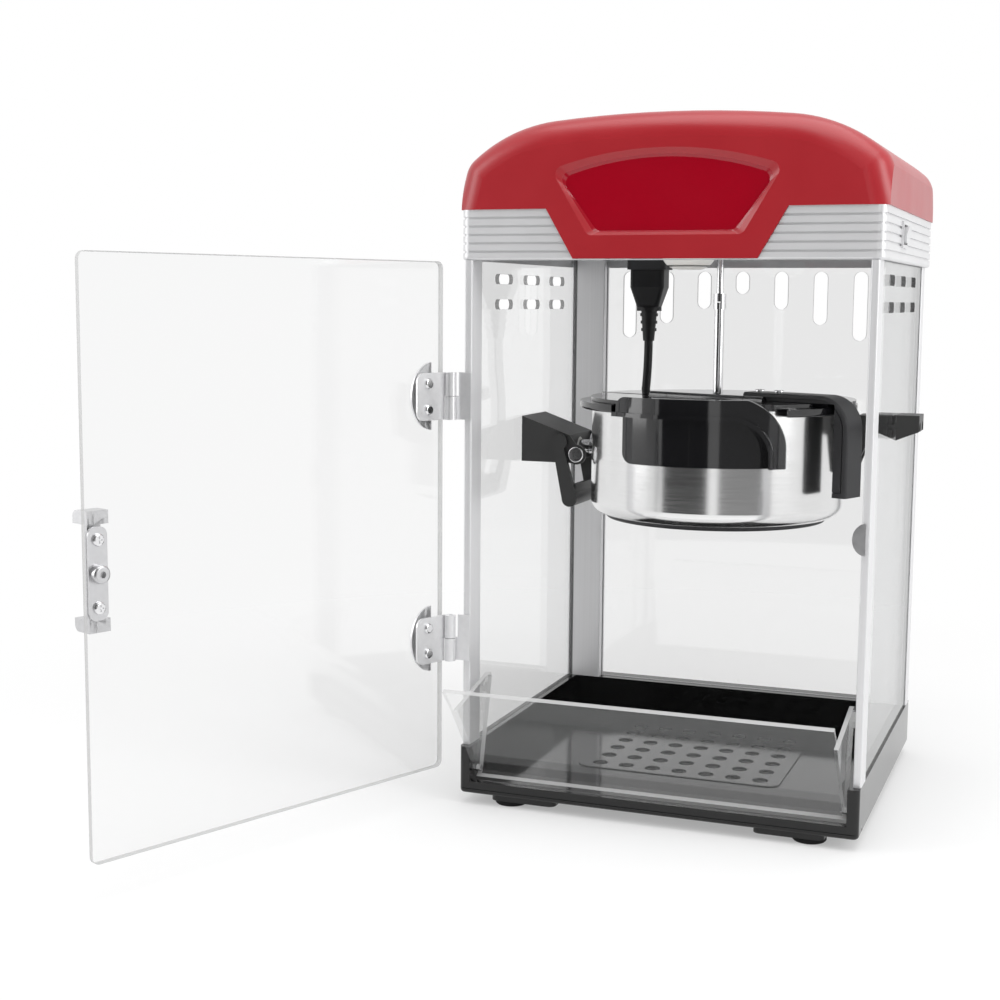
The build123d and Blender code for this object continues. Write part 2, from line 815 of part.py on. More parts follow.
def kettle_socket():
    w = socket_w / 2
    d = socket_d / 2
    flange = pillar(-w, w, -d, d, ceiling_low - socket_flange_t, ceiling_low, 2)
    body = block(-w + 3 + slip, w - 3 - slip, -d + 3 + slip, d - 3 - slip,
                 ceiling_low, ceiling_low + socket_body_h)
    return Pos(socket_x, socket_y, 0) * (flange + body)


def gear_motor():
    x0 = kettle_x - gearbox_w / 2
    y0 = kettle_y - gearbox_d / 2
    z1 = ceiling_top + gearbox_h
    box = pillar(x0, x0 + gearbox_w, y0, y0 + gearbox_d, ceiling_top, z1, 5)
    box -= rod_z(kettle_x, kettle_y, ceiling_top - 1, ceiling_top + gearbox_h / 2, shaft_d + 2 * run)
    can = rod_z(kettle_x, kettle_y + motor_offset, z1, z1 + motor_h, motor_d)
    can = fillet(can.edges().group_by(Axis.Z)[-1], 4)
    can += rod_z(kettle_x, kettle_y + motor_offset, z1 + motor_h, z1 + motor_h + 4, motor_d / 3)
    return box + can


def drive_shaft():
    top = ceiling_top + gearbox_h / 2 - free
    low = rod_top + free
    shaft = rod_z(0, 0, low, top, shaft_d)
    half_t = tongue_t / 2
    half_w = tongue_w / 2
    tongue = block(-half_t, half_t, -half_w, half_w, low - tongue_l, low)
    return at_kettle * (shaft + tongue)


def switch_housing():
    x1 = band_w / 2 + switch_proud
    x0 = band_w / 2 - switch_depth
    z = switch_z
    half_l = switch_l / 2
    half_h = switch_h / 2
    body = block(x0, band_w / 2, switch_y - half_l, switch_y + half_l, z - half_h, z + half_h)
    body += block(band_w / 2, x1, switch_y - half_l - 1.5, switch_y + half_l + 1.5,
                  z - half_h - 1.5, z + half_h + 1.5)
    gap = rocker_gap
    pocket = block(x0 + 3, x1 + 1, switch_y - rocker_l / 2 - gap, switch_y + rocker_l / 2 + gap,
                   z - rocker_h / 2 - gap, z + rocker_h / 2 + gap)
    body -= pocket
    pin = rod_y(x1 - rocker_pivot_in, switch_y - rocker_l / 2 - gap, switch_y + rocker_l / 2 + gap, z, 2.0)
    return body + pin


def rocker_pivot():
    return band_w / 2 + switch_proud - rocker_pivot_in, switch_z


def switch_rocker():
    x, z = rocker_pivot()
    half_h = rocker_h / 2
    out = rocker_pivot_in + rocker_proud
    crest = (x + out - 0.8, z)
    profile = Polyline((x - 3.5, z - half_h + 2.5), (x + out - 1.0, z - half_h), crest,
                       (x + out + 0.6, z + half_h), (x - 3.5, z + half_h - 2.5), close=True)
    body = slab_xz(make_face(profile), switch_y - rocker_l / 2, switch_y + rocker_l / 2)
    return body - rod_y(x, switch_y - rocker_l, switch_y + rocker_l, z, 2.0 + 2 * run)


def mains_gland():
    y0 = band_d / 2 - band_t - 6
    y1 = band_d / 2 + mains_proud
    body = rod_y(mains_x, y0, y1, mains_z, mains_d)
    collar = rod_y(mains_x, band_d / 2, band_d / 2 + 2, mains_z, mains_d + 5)
    return body + collar - rod_y(mains_x, y0 - 1, y1 + 1, mains_z, mains_bore)


# Kettle brackets
def bracket_screw_places(side):
    mid_y = (left_front + left_rear) / 2 if side < 0 else (right_front + right_rear) / 2
    step = bracket_screw_step / 2
    z = left_low + left_root_h / 2 if side < 0 else (right_arm_low + right_arm_top) / 2
    return [(mid_y - step, z), (mid_y + step, z)]


def left_bracket():
    wall = -(side_panel_x - panel_t / 2)
    top_root = left_low + left_root_h
    top_end = left_low + left_end_h
    outline = [(wall, left_low), (left_end_x, left_low), (left_end_x, top_end), (wall, top_root)]
    body = slab_xz(make_face(Polyline(outline, close=True)), left_front, left_rear)
    s = bracket_sheet
    inner = [(wall + s, left_low - 1), (left_end_x - s, left_low - 1), (left_end_x - s, top_end - s),
             (wall + s, top_root - s * 1.3)]
    body -= slab_xz(make_face(Polyline(inner, close=True)), left_front + s, left_rear - s)
    for y0 in (left_front, left_rear - s):
        ear = make_face(Polyline((left_end_x, left_low), (ear_x, ear_z - ear_r), (ear_x, ear_z + ear_r),
                                 (left_end_x, top_end), close=True))
        ear += Pos(ear_x, ear_z) * Circle(ear_r)
        body += slab_xz(ear, y0, y0 + s)
        body -= rod_y(ear_x, y0 - 1, y0 + s + 1, ear_z, ear_pin_d)
    body += rod_x(left_end_x - bush_l, left_end_x, kettle_y, tip_z, bush_od + 4) & block(
        left_end_x - bush_l, left_end_x, left_front, left_rear, left_low, top_end)
    body -= rod_x(left_end_x - bush_l - 1, left_end_x + 1, kettle_y, tip_z, bush_od)
    body -= rod_y(latch_x, left_front - 1, left_front + s, latch_z, latch_pin_d)
    body -= rod_y(latch_x, left_rear - s, left_rear + 1, latch_z, latch_pin_d)
    for y, z in bracket_screw_places(-1):
        body -= rod_x(wall - 1, wall + s + 1, y, z, bracket_screw_d)
    return body


def right_bracket():
    wall = side_panel_x - panel_t / 2
    low = tip_z - bush_od / 2 - 4
    high = tip_z + bush_od / 2 + 4
    outline = [(wall, right_arm_top), (right_arm_x, right_arm_top), (right_arm_x, right_arm_top - 8),
               (right_near_x, high), (right_near_x, low), (right_near_x + bush_l, low),
               (right_arm_x + 2, tip_z), (right_arm_x + 8, right_arm_low), (wall, right_arm_low)]
    body = slab_xz(make_face(Polyline(outline, close=True)), right_front, right_rear)
    body -= rod_x(right_near_x - 1, right_arm_x + 6, kettle_y, tip_z, bush_od)
    for y, z in bracket_screw_places(1):
        body -= rod_x(wall - 8, wall + 1, y, z, bracket_screw_d)
    return body


def bracket_boss():
    wall = side_panel_x + panel_t / 2
    mid_y, mid_z = [sum(values) / 2 for values in zip(*bracket_screw_places(1))]
    outline = [(wall, mid_z - boss_h / 2), (wall + boss_l, mid_z + boss_h / 2 - boss_tip_h),
               (wall + boss_l, mid_z + boss_h / 2), (wall, mid_z + boss_h / 2)]
    body = slab_xz(make_face(Polyline(outline, close=True)), mid_y - boss_w / 2, mid_y + boss_w / 2)
    for y, z in bracket_screw_places(1):
        body -= rod_x(wall - 1, wall + boss_l + 1, y, z, bracket_screw_d + 2 * slip)
        body -= rod_x(wall + boss_l - boss_sink, wall + boss_l + 1, y, z, bracket_screw_head_d + 2 * slip)
    return body


def bracket_screws():
    made = []
    wall = side_panel_x + panel_t / 2
    sunk = wall + boss_l - boss_sink
    for side, out, grip in ((-1, wall, bracket_sheet + panel_t), (1, sunk, bracket_bite + panel_t)):
        for y, z in bracket_screw_places(side):
            inner = wall - grip
            shank = rod_x(min(side * inner, side * out), max(side * inner, side * out), y, z, bracket_screw_d)
            tip = side * (out + bracket_screw_head_t)
            head = rod_x(min(side * out, tip), max(side * out, tip), y, z, bracket_screw_head_d)
            made.append(shank + head)
    return Compound(made)


def kettle_bushes():
    made = []
    for x0 in (left_end_x - bush_l, right_near_x):
        body = rod_x(x0, x0 + bush_l, kettle_y, tip_z, bush_od)
        made.append(body - rod_x(x0 - 1, x0 + bush_l + 1, kettle_y, tip_z, trunnion_d + 2 * run))
    return Compound(made)


def latch_arm_face():
    half = latch_arm_w / 2
    foot_x_mid = latch_x + latch_lean
    low = latch_z - latch_drop + half
    arm = Pos(latch_x, latch_z) * Circle(latch_hub_r)
    shoulder = (latch_x + latch_hub_r * 0.6, latch_z - latch_hub_r * 0.8)
    arm += make_face(Polyline((latch_x - latch_hub_r, latch_z), shoulder,
                              (foot_x_mid + half, low), (foot_x_mid - half, low), close=True))
    return arm + Pos(foot_x_mid, low) * Circle(half)


def latch_bail():
    front = left_front - free
    rear = left_rear + free
    half = latch_arm_w / 2
    foot_x_mid = latch_x + latch_lean
    low = latch_z - latch_drop
    arm = latch_arm_face()
    body = slab_xz(arm, front - latch_arm_t, front) + slab_xz(arm, rear, rear + latch_arm_t)
    bar_x = foot_x_mid + half - 2
    bar = block(bar_x - latch_arm_t, bar_x, front, rear, low + 2, low + latch_bar_h)
    body += bar + rod_y(foot_x_mid, front, rear, low + half, 2 * half)
    hole = latch_pin_d + 2 * run
    body -= rod_y(latch_x, front - latch_blind, front + 1, latch_z, hole)
    return body - rod_y(latch_x, rear - 1, rear + latch_blind, latch_z, hole)


def latch_pin():
    return rod_y(0, -free - latch_blind + run, bracket_sheet, 0, latch_pin_d)


def ear_rivet():
    head = rod_y(0, -ear_pin_head_t, 0, 0, ear_pin_head_d)
    head = fillet(head.edges().sort_by(Axis.Y)[0], ear_pin_head_t * 0.4)
    tail = rod_y(0, bracket_sheet, bracket_sheet + ear_pin_head_t / 2, 0, ear_pin_d + 2)
    return head + rod_y(0, 0, bracket_sheet, 0, ear_pin_d) + tail


def latch_pins():
    made = []
    for x, z, pin in ((latch_x, latch_z, latch_pin()), (ear_x, ear_z, ear_rivet())):
        made.append(Pos(x, left_front, z) * pin)
        made.append(Pos(x, left_rear, z) * mirror(pin, Plane.XZ))
    return Compound(made)


# Kettle
def kettle_shell():
    body = cup(kettle_r, kettle_bottom, kettle_top, kettle_wall, kettle_corner_r)
    return at_kettle * (body - rod_y(0, kettle_r / 2, kettle_r + 2, gland_z, gland_d - 3))


def kettle_pan():
    body = cup(pan_r, pan_bottom, kettle_top, kettle_wall, pan_corner_r)
    return at_kettle * (body + ring(pan_r - kettle_wall, kettle_r, kettle_top, kettle_top + pan_flange_t))


def heating_ring():
    z1 = pan_bottom
    return at_kettle * ring(heater_r - heater_w / 2, heater_r + heater_w / 2, z1 - heater_t, z1)


def thermostat():
    return at_kettle * rod_z(0, heater_r / 3, pan_bottom - thermostat_h, pan_bottom, thermostat_d)


def kettle_base_cover():
    low = kettle_bottom - base_cover_t
    disc = rod_z(0, 0, low, kettle_bottom, 2 * (base_cover_r - 2))
    return at_kettle * chamfer(disc.edges().group_by(Axis.Z)[0], 1.2)


def kettle_rim():
    z1 = kettle_top + pan_flange_t
    skirt = ring(kettle_r + slip, rim_r, kettle_top - rim_skirt, rim_top)
    skirt = fillet(skirt.edges().group_by(Axis.Z)[0].sort_by(SortBy.LENGTH)[-1], 2.0)
    left = -spout_left - spout_lip_overhang - free
    right = spout_arch_end + free
    skirt -= block(left, right, -rim_r - 1, 0, kettle_top - 2 * rim_skirt, rim_top + 1)
    top = ring(rim_inner_r, kettle_r + slip + 1, z1, rim_top)
    return at_kettle * (skirt + top)


def flap_knuckle(x0, x1):
    return rod_x(x0, x1, -flap_hinge_offset, lid_top, 2 * flap_knuckle_r)


def lid_rear():
    near = -flap_hinge_offset + flap_knuckle_r + free
    disc = rod_z(0, 0, rim_top, lid_top, 2 * lid_r)
    body = disc & block(-lid_r - 1, lid_r + 1, near, lid_r + 1, rim_top, lid_top)
    body -= rod_z(0, 0, rim_top - 1, lid_top + 1, rod_d + 5)
    half = flap_knuckle_l / 2
    for x in (-flap_knuckle_x, flap_knuckle_x):
        body += flap_knuckle(x - half, x + half)
        body += block(x - half, x + half, -flap_hinge_offset, near + 1, rim_top, lid_top)
    body -= rod_x(-lid_r, lid_r, -flap_hinge_offset, lid_top, flap_pin_d)
    for x in handle_screw_places():
        body -= rod_z(x, 0, rim_top - 1, lid_top + 1, screw_d)
    return along_handle * body


def lid_flap():
    near = -flap_hinge_offset - flap_knuckle_r - free
    disc = rod_z(0, 0, rim_top + slip, lid_top, 2 * flap_r)
    body = disc & block(-lid_r - 1, lid_r + 1, -lid_r - 1, near, rim_top, lid_top)
    end = flap_knuckle_x - flap_knuckle_l / 2 - free
    body += flap_knuckle(-end, end)
    body += block(-end, end, near - 1, -flap_hinge_offset, rim_top + slip, lid_top)
    body -= rod_x(-lid_r, lid_r, -flap_hinge_offset, lid_top, flap_pin_d + 2 * run)
    return along_handle * body


def flap_pin():
    half = flap_knuckle_x + flap_knuckle_l / 2
    return along_handle * rod_x(-half, half, -flap_hinge_offset, lid_top, flap_pin_d)


def handle_screw_places():
    return (handle_screw_r, handle_screw_r + handle_screw_step)


def handle_inside(inset):
    outer = handle_grip_r + handle_grip_t - inset
    top = lid_top + handle_arm_t - inset
    root = handle_root_r + inset
    low = handle_grip_low + inset
    shape = Polyline((root, low), (root, top), (outer, top), (outer, low), close=True)
    face = make_face(shape)
    return fillet(face.vertices().sort_by_distance((outer, top))[0], handle_bend_r - inset)


def kettle_handle():
    outer = handle_grip_r + handle_grip_t
    top = lid_top + handle_arm_t
    shape = Polyline((handle_root_r, lid_top), (handle_root_r, top), (outer, top), (outer, handle_grip_low),
                     (handle_grip_r, handle_grip_low), (handle_grip_r, lid_top), close=True)
    face = make_face(shape)
    outer_corner = face.vertices().sort_by_distance((outer, top))[0]
    face = fillet(outer_corner, handle_bend_r)
    inner_corner = face.vertices().sort_by_distance((handle_grip_r, lid_top))[0]
    face = fillet(inner_corner, handle_inner_r)
    body = slab_xz(face, -handle_w / 2, handle_w / 2)
    outside = [edge for edge in body.edges() if abs(abs(edge.center().Y) - handle_w / 2) < 0.01
               and edge.center().X > handle_grip_r + 1 and edge.center().Z > handle_grip_low + 1]
    body = fillet(outside, handle_edge_r)
    seam = handle_inside(handle_seam_in) - handle_inside(handle_seam_in + handle_seam_w)
    half = handle_w / 2
    body -= slab_xz(seam, -half - 1, -half + handle_seam_depth)
    body -= slab_xz(seam, half - handle_seam_depth, half + 1)
    for x in handle_screw_places():
        body -= rod_z(x, 0, lid_top - 1, top + 1, screw_d)
    return along_handle * body


def handle_screws():
    top = lid_top + handle_arm_t
    made = []
    for x in handle_screw_places():
        head = rod_z(x, 0, top, top + screw_head_t, screw_head_d)
        head = fillet(head.edges().group_by(Axis.Z)[-1], screw_head_t * 0.6)
        made.append(along_handle * (head + rod_z(x, 0, rim_top, top, screw_d)))
    return Compound(made)


def trunnion(reach):
    x0 = kettle_r - trunnion_flange_t
    pin = rod_x(x0, reach, 0, tip_z, trunnion_d)
    flange = rod_x(x0, kettle_r + trunnion_flange_t, 0, tip_z, trunnion_flange_d)
    return pin + flange - rod_z(0, 0, kettle_bottom, kettle_top, 2 * kettle_r)


def kettle_trunnions():
    over = bush_l + trunnion_over
    left = mirror(trunnion(kettle_x - left_end_x + over), Plane.YZ)
    right = trunnion(right_near_x - kettle_x + over)
    return Compound([at_kettle * left, at_kettle * right])


def terminal_box():
    half = terminal_w / 2
    rear = terminal_rear - kettle_y
    body = block(-half, half, kettle_r - 10, rear, terminal_low, terminal_low + terminal_h)
    body = fillet(body.edges().filter_by(Axis.Z).group_by(Axis.Y)[-1], 4)
    body -= rod_z(0, 0, kettle_bottom - 1, kettle_top, 2 * kettle_r)
    gland = rod_x(-half - gland_l, -half, cord_y - kettle_y, gland_z, gland_d)
    gland = chamfer(gland.edges().sort_by(Axis.X)[0], 1.5)
    return at_kettle * (body + gland)


def spout_arc(crown, side, knee):
    """One edge of the arch: upright from the spout's lower edge to its knee, then round to the crown."""
    return Line((side, spout_low), (side, knee)) + TangentArc((side, knee), crown, tangent=(0, 1))


def spout_fascia_face():
    lip_top = spout_lip_z + spout_lip_t
    inner = spout_arch_end - spout_arch_w
    crown_end = (spout_arch_start + spout_crown_over, spout_top)
    lip_end = (spout_arch_start, lip_top)
    edges = spout_arc(crown_end, spout_arch_end, spout_outer_knee)
    edges += Line((spout_arch_end, spout_low), (inner, spout_low))
    edges += spout_arc(lip_end, inner, spout_inner_knee)
    edges += Polyline(lip_end, (-spout_left, lip_top), (-spout_left, spout_top), crown_end)
    face = make_face(edges)
    corner = face.vertices().sort_by_distance((-spout_left, spout_top))[0]
    return fillet(corner, spout_corner_r)


def spout_lip_face():
    lip_top = spout_lip_z + spout_lip_t
    top_end = (spout_arch_start, lip_top)
    low_end = (spout_arch_start, spout_lip_z)
    outer = spout_arch_end - spout_arch_w
    inner = outer - spout_lip_t
    left = -spout_left - spout_lip_overhang
    edges = spout_arc(top_end, outer, spout_inner_knee) + Line((outer, spout_low), (inner, spout_low))
    edges += spout_arc(low_end, inner, spout_inner_knee)
    edges += Polyline(low_end, (left, spout_lip_z), (left, lip_top), top_end)
    return make_face(edges)


def spout_shield_face():
    top = spout_lip_z + spout_lip_t - spout_shield_lap
    right = spout_arch_end - spout_arch_w - spout_shield_lap
    left = -spout_shield_left
    edges = spout_arc((spout_arch_start, top), right, spout_inner_knee)
    edges += Polyline((spout_arch_start, top), (left, top), (left, spout_low), (right, spout_low))
    face = make_face(edges)
    corner = face.vertices().sort_by_distance((left, spout_low))[0]
    return fillet(corner, spout_corner_r)


def spout_guard():
    near = kettle_r + spout_gap
    front = -spout_lip_r - 5
    back = -kettle_r / 2
    layers = ((spout_shield_face(), near, near + spout_shield_t),
              (spout_lip_face(), near, spout_lip_r),
              (spout_fascia_face(), spout_fascia_r - spout_fascia_t, spout_fascia_r))
    body = None
    for face, r_in, r_out in layers:
        layer = slab_xz(face, front, back) & ring(r_in, r_out, spout_low - 1, spout_top + 1)
        body = layer if body is None else body + layer
    face_r = near + spout_shield_t
    seam = block(spout_seam_x - spout_seam_w / 2, spout_seam_x + spout_seam_w / 2, -face_r - 0.5,
                 -face_r + spout_seam_depth, spout_low - 1, spout_lip_z)
    return at_kettle * (body - seam)


def stir_rod():
    low = pan_bottom + kettle_wall + rod_foot_gap
    rod = rod_z(0, 0, low, rod_top - coupler_l, rod_d)
    head = rod_z(0, 0, rod_top - coupler_l, rod_top, coupler_d)
    half = tongue_t / 2 + free
    slot = block(-half, half, -coupler_d, coupler_d, rod_top - tongue_l - free, rod_top + 1)
    return at_kettle * (rod + head - slot)


def stir_paddle():
    low = pan_bottom + kettle_wall + rod_foot_gap
    hub = rod_z(0, 0, low, low + paddle_hub_h, paddle_hub_d)
    arm = block(-paddle_r, paddle_r, -paddle_t / 2, paddle_t / 2, low, low + paddle_w)
    arm = fillet(arm.edges().filter_by(Axis.Y), paddle_w / 3)
    return at_kettle * (hub + arm - rod_z(0, 0, low - 1, low + paddle_hub_h + 1, rod_d))


# Kettle lead
def kettle_plug():
    top = ceiling_low - socket_flange_t
    body = pillar(-plug_w / 2, plug_w / 2, -plug_d / 2, plug_d / 2, top - plug_h, top, 3)
    wide = Pos(0, 0, top - plug_h) * RectangleRounded(plug_w, plug_d, 3)
    neck_z = top - plug_h - plug_neck_h
    narrow = Pos(0, 0, neck_z) * RectangleRounded(plug_neck_w, plug_neck_d, 3)
    body += loft([wide, narrow])
    body += rod_z(0, 0, neck_z - plug_collar_h, neck_z, plug_collar_d)
    collar_z = neck_z - plug_collar_h
    body += Pos(0, 0, relief_low + relief_h / 2) * Cone(relief_tip_d / 2, relief_d / 2, relief_h)
    pitch = relief_h / relief_rings
    for index in range(relief_rings - 1):
        z = collar_z - (index + 0.5) * pitch
        d = relief_d - (relief_d - relief_tip_d) * (index + 0.5) / relief_rings
        body += rod_z(0, 0, z - 1.2, z + 1.2, d + 2.0)
    return Pos(socket_x, socket_y, 0) * body


def cord_radii():
    points = [Vector(*point) for point in cord_route]
    radii = []
    for before, here, after in zip(points, points[1:], points[2:]):
        turn = (here - before).get_angle(after - here)
        shorter = min((here - before).length, (after - here).length)
        radii.append(0.45 * shorter / tan(radians(turn) / 2))
    return radii


def kettle_cord():
    radii = cord_radii()
    path = FilletPolyline(*cord_route, radius=radii)
    start = Plane(origin=path @ 0, z_dir=path % 0)
    tube = sweep(start * Circle(cord_d / 2), path)
    print("cord radii", [round(value, 1) for value in radii])
    print("cord length", round(path.length, 1), "volume over section times length",
          round(tube.volume / (pi * cord_d ** 2 / 4 * path.length), 4))
    return tube


# Door, drawn closed and then opened
def hinge_heights():
    return (hinge_upper_z, hinge_lower_z)


def door_screw_places():
    places = []
    for z in hinge_heights():
        for step in (-hinge_screw_step / 2, hinge_screw_step / 2):
            places.append((door_left + hinge_screw_x, z + step))
    return places


def pull_screw_places():
    x = door_left + door_w - plate_edge_gap - plate_w_latch / 2
    return [(x, latch_plate_z - pull_screw_step / 2), (x, latch_plate_z + pull_screw_step / 2)]


def door_panel():
    centre = Pos(door_left + door_w / 2, door_bottom + door_h / 2)
    face = centre * RectangleRounded(door_w, door_h, door_corner_r)
    panel = slab_xz(face, door_outer, door_inner)
    panel = chamfer(panel.edges().group_by(Axis.Y)[0], 0.6)
    for x, z in door_screw_places() + pull_screw_places():
        panel -= rod_y(x, door_outer - 1, door_inner + 1, z, screw_d + 2 * slip)
    return door_pose * panel


def door_leaf(z):
    half = hinge_h / 2
    y1 = door_inner + hinge_leaf_t
    body = block(hinge_axis_x, door_left + hinge_leaf_w, door_inner, y1, z - half, z + half)
    body = fillet(body.edges().filter_by(Axis.Y).group_by(Axis.X)[-1], hinge_leaf_r)
    body += rod_z(hinge_axis_x, hinge_axis_y, z + slip, z + half, 2 * hinge_barrel_r)
    body -= block(hinge_axis_x - 1, door_left - free, door_inner - 1, y1 + 0.3, z - half - 1, z)
    body -= rod_z(hinge_axis_x, hinge_axis_y, z - half - 1, z + half + 1, hinge_pin_d + 2 * run)
    for x, screw_z in door_screw_places():
        body -= rod_y(x, door_inner - 1, y1 + 1, screw_z, screw_d)
    return door_pose * body


def door_moon(z):
    edge = door_left + hinge_moon_in
    moon = Pos(edge, z) * Ellipse(hinge_moon_w, hinge_moon_h / 2)
    moon &= Pos(edge + hinge_moon_w / 2, z) * Rectangle(hinge_moon_w, hinge_moon_h)
    body = slab_xz(moon, door_outer - hinge_leaf_t, door_outer)
    for x, screw_z in door_screw_places():
        body -= rod_y(x, door_outer - hinge_leaf_t - 1, door_outer + 1, screw_z, screw_d)
    return door_pose * body


def post_leaf(z):
    half = hinge_h / 2
    inner = -frame_w / 2 + front_post_w
    body = block(hinge_axis_x, inner, post_front - hinge_leaf_t, post_front, z - half, z + half)
    body -= block(hinge_axis_x - 1, hinge_axis_x + hinge_barrel_r + free, post_front - hinge_leaf_t - 1,
                  post_front + 1, z, z + half + 1)
    body += rod_z(hinge_axis_x, hinge_axis_y, z - half, z - slip, 2 * hinge_barrel_r)
    body -= rod_z(hinge_axis_x, hinge_axis_y, z - half - 1, z, hinge_pin_d)
    front = post_front - hinge_leaf_t
    for screw_z in (z - half / 2, z + half / 2):
        body -= rod_y(post_leaf_screw_x(), post_front - 5, post_front + 1, screw_z, leaf_screw_d)
        body -= rod_y(post_leaf_screw_x(), front - 1, front + leaf_screw_head_t, screw_z, leaf_screw_head_d)
    return body


def post_leaf_screw_x():
    return -frame_w / 2 + front_post_w / 2


def hinge_pins():
    low = -hinge_h / 2
    high = hinge_h / 2 - free
    return Compound([rod_z(hinge_axis_x, hinge_axis_y, z + low, z + high, hinge_pin_d)
                     for z in hinge_heights()])


def hinge_screws():
    made = []
    for x, z in door_screw_places():
        inner = door_inner + hinge_leaf_t
        head = rod_y(x, inner, inner + screw_head_t, z, screw_head_d)
        head = fillet(head.edges().sort_by(Axis.Y)[-1], screw_head_t * 0.6)
        outer = door_outer - hinge_leaf_t
        nut = rod_y(x, outer - screw_head_t, outer, z, screw_head_d)
        made.append(door_pose * (head + nut + rod_y(x, outer, inner, z, screw_d)))
    return made


def post_hinge_screws():
    made = []
    front = post_front - hinge_leaf_t
    for centre in hinge_heights():
        for z in (centre - hinge_h / 4, centre + hinge_h / 4):
            sunk = front + leaf_screw_head_t
            head = rod_y(post_leaf_screw_x(), front, sunk, z, leaf_screw_head_d)
            made.append(head + rod_y(post_leaf_screw_x(), sunk, post_front, z, leaf_screw_d))
    return made


def door_pull():
    x1 = door_left + door_w - pull_edge_gap
    x0 = x1 - pull_w
    z0 = latch_plate_z - pull_h / 2
    z1 = latch_plate_z + pull_h / 2
    far = door_outer - pull_reach
    body = block(x0, x1, far, door_outer, z0, z1)
    body = fillet(body.edges().filter_by(Axis.X).group_by(Axis.Y)[0], pull_foot_h / 2)
    body -= block(x0 - 1, x1 + 1, far - 1, door_outer + 1, z0 + pull_foot_h, z1 - pull_foot_h)
    between = (z0 + pull_foot_h, z1 - pull_foot_h)
    body += block(x0, x0 + pull_bar_w, far, far + pull_bar_t, *between)
    body += block(x1 - pull_strip_w, x1, door_outer - pull_strip_t, door_outer, *between)
    for x, z in pull_screw_places():
        body -= rod_y(x, door_outer - pull_strip_t - 1, door_outer + 1, z, screw_d)
    return door_pose * body


def latch_plate():
    centre = Pos(door_left + door_w - plate_edge_gap - plate_w_latch / 2, latch_plate_z)
    plate = slab_xz(centre * RectangleRounded(plate_w_latch, plate_h, 5), door_inner, door_inner + plate_tk)
    for x, z in pull_screw_places():
        plate -= rod_y(x, door_inner - 1, door_inner + plate_tk + 1, z, screw_d)
    y0 = door_inner + plate_tk
    x = pull_screw_places()[0][0]
    knob = rod_y(x, y0, y0 + knob_l, latch_plate_z, knob_d)
    knob = fillet(knob.edges().sort_by(Axis.Y)[-1], 1.5)
    return door_pose * (plate + knob - rod_y(x, y0 + knob_l / 2, y0 + knob_l + 1, latch_plate_z, knob_hole_d))


def pull_screws():
    made = []
    inner = door_inner + plate_tk
    top = inner + screw_head_t
    half_l = screw_cross_l / 2
    half_w = screw_cross_w / 2
    for x, z in pull_screw_places():
        head = rod_y(x, inner, top, z, screw_head_d)
        head = fillet(head.edges().sort_by(Axis.Y)[-1], screw_head_t * 0.6)
        head -= block(x - half_l, x + half_l, top - screw_cross_depth, top + 1, z - half_w, z + half_w)
        head -= block(x - half_w, x + half_w, top - screw_cross_depth, top + 1, z - half_l, z + half_l)
        made.append(door_pose * (head + rod_y(x, door_outer - pull_strip_t, inner, z, screw_d)))
    return made


def door_catch():
    z = latch_plate_z + catch_rise
    half_disc = Pos(catch_x, z) * Ellipse(catch_w, catch_h / 2)
    half_disc &= Pos(catch_x - catch_w / 2, z) * Rectangle(catch_w, catch_h)
    return slab_xz(half_disc, post_front - catch_t, post_front)


# Chute, drawn upright and then leant out
def chute_sheet():
    lean = radians(chute_lip_lean)
    lip_y = chute_front - chute_lip_l * sin(lean)
    lip_z = chute_bend_z + chute_lip_l * cos(lean)
    inside = chute_front + chute_t
    outline = [(chute_front, chute_low), (chute_front, chute_bend_z), (lip_y, lip_z), (lip_y + chute_t, lip_z),
               (inside, chute_bend_z), (inside, chute_low)]
    return slab_yz(make_face(Polyline(outline, close=True)), -chute_half_w, chute_half_w)


def chute_wing():
    front = chute_front + chute_t / 2
    outline = [(front, chute_low), (front, chute_bend_z), (wing_rear_y, wing_rear_z),
               (chute_axis_y + wing_heel_r, chute_axis_z), (chute_axis_y, chute_low)]
    face = make_face(Polyline(outline, close=True))
    face = fillet(face.vertices().sort_by(Axis.X)[-1], 4)
    x0 = chute_half_w - chute_t
    y1 = wing_rear_y - 6
    z1 = wing_rear_z - 1
    lug = block(chute_half_w, chute_half_w + stop_w, y1 - stop_l, y1, z1 - stop_h, z1)
    return slab_yz(face, x0, chute_half_w) + fillet(lug.edges().filter_by(Axis.X), 1.5)


def chute():
    body = chute_sheet() + both_sides(chute_wing())
    bore = chute_pin_d + 2 * run
    hole = rod_x(chute_half_w - chute_t - 1, chute_half_w + 1, chute_axis_y, chute_axis_z, bore)
    return chute_pose * (body - both_sides(hole))


def chute_pins():
    inner_half = base_w / 2 - base_side_t
    x0 = chute_half_w - chute_t
    pin = rod_x(x0, inner_half + chute_pin_in, chute_axis_y, chute_axis_z, chute_pin_d)
    return Compound([pin, mirror(pin, Plane.YZ)])


def cabinet_pieces():
    pieces = {name: post(*place) for name, place in post_places().items()}
    pieces |= {
        "base_housing": base_housing(), "bottom_cover": bottom_cover(), "feet": feet(),
        "kernel_tray": kernel_tray(), "kernel_plate": kernel_plate(),
        "frame_screws": Compound(post_screws() + post_hinge_screws()),
        "left_panel": side_panel(-1), "right_panel": side_panel(1), "rear_panel": rear_panel(),
        "left_bracket": left_bracket(), "right_bracket": right_bracket(),
        "bracket_boss": bracket_boss(), "bracket_screws": bracket_screws(),
        "kettle_bushes": kettle_bushes(), "latch_bail": latch_bail(), "latch_pins": latch_pins(),
    }
    return pieces


